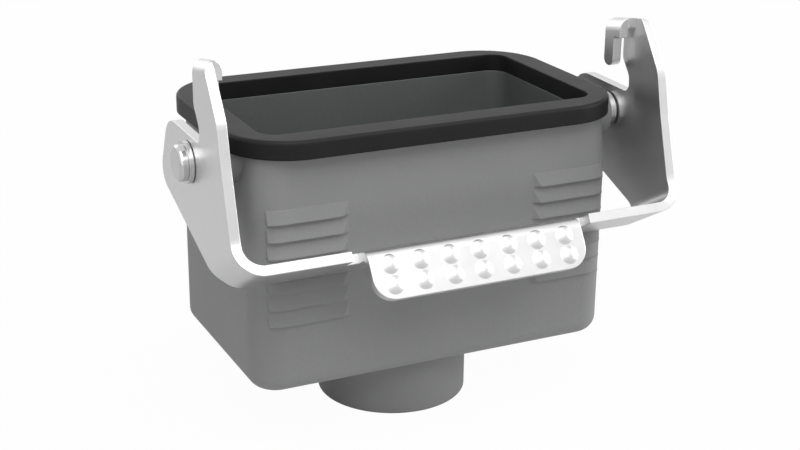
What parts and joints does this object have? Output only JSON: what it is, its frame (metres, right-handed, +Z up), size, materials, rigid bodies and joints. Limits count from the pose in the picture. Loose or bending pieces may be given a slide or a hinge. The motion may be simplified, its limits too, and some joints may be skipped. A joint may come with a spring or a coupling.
{
  "type": "heavy duty rectangular connector hood",
  "caption": "Rectangular die-cast connector hood with rim gasket, round cable entry, corner insert posts and a hinged locking lever with folded horns and a bumped grip pad.",
  "frame": {"origin": "centre of the cable entry's lower face, on which the hood stands", "axes": "+Z up out of the cable entry towards the mouth, +X along the hood's length and along the lever's pivot axis, -Y towards the lever's bar when it is open"},
  "size_m": [0.0932, 0.0627, 0.0752],
  "materials": {
    "cast_body": "fine-textured grey powder coat on cast aluminium",
    "gasket_rubber": "matte",
    "lever_steel": "bright rolled stainless",
    "stud_steel": "bright turned"
  },
  "bodies": {
    "hood": {"housing": "cast_body", "rim_gasket": "gasket_rubber", "pivot_stud_left": "stud_steel", "pivot_stud_right": "stud_steel", "pivot_washer_left": "stud_steel", "pivot_washer_right": "stud_steel"},
    "lever": {"locking_lever": "lever_steel"}
  },
  "joints": [
    {"name": "lever_pivot", "type": "hinge", "parent": "hood", "child": "lever", "pos_m": [0, -0.01, 0.0554], "axis": [1, 0, 0], "range_deg": [-80, 0]}
  ]
}
